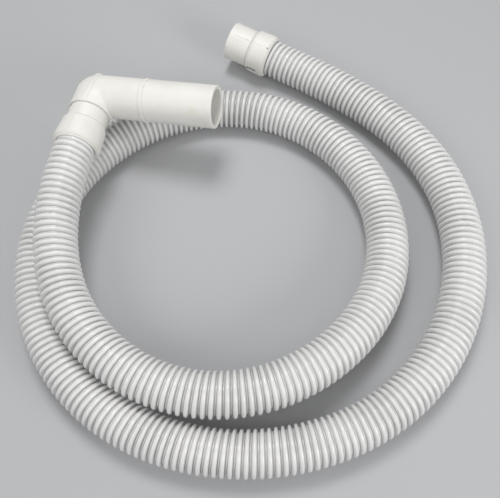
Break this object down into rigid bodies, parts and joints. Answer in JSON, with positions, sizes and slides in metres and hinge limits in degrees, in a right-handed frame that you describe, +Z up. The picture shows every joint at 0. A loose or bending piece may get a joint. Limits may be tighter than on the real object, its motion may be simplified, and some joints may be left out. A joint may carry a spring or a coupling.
{
  "type": "washing machine drain hose",
  "caption": "Corrugated drain hose laid in a loop and a half, with a straight cuff on one end and an elbow with a long straight spout on the other.",
  "frame": {"origin": "on the floor under the middle of the laid hose", "axes": "+Z up from the floor the hose lies on, +X along the straight spout towards its mouth, +Y from the floor loop towards the elbow and the straight cuff"},
  "size_m": [0.3836, 0.4147, 0.0834],
  "materials": {
    "hose_plastic": "light grey, satin, corrugated",
    "cuff_plastic": "warm off-white soft plastic, satin",
    "spout_plastic": "warm off-white moulded plastic, satin"
  },
  "bodies": {
    "root": {"hose": "hose_plastic", "inlet_cuff": "cuff_plastic", "outlet_cuff": "cuff_plastic", "elbow_spout": "spout_plastic"}
  },
  "joints": []
}
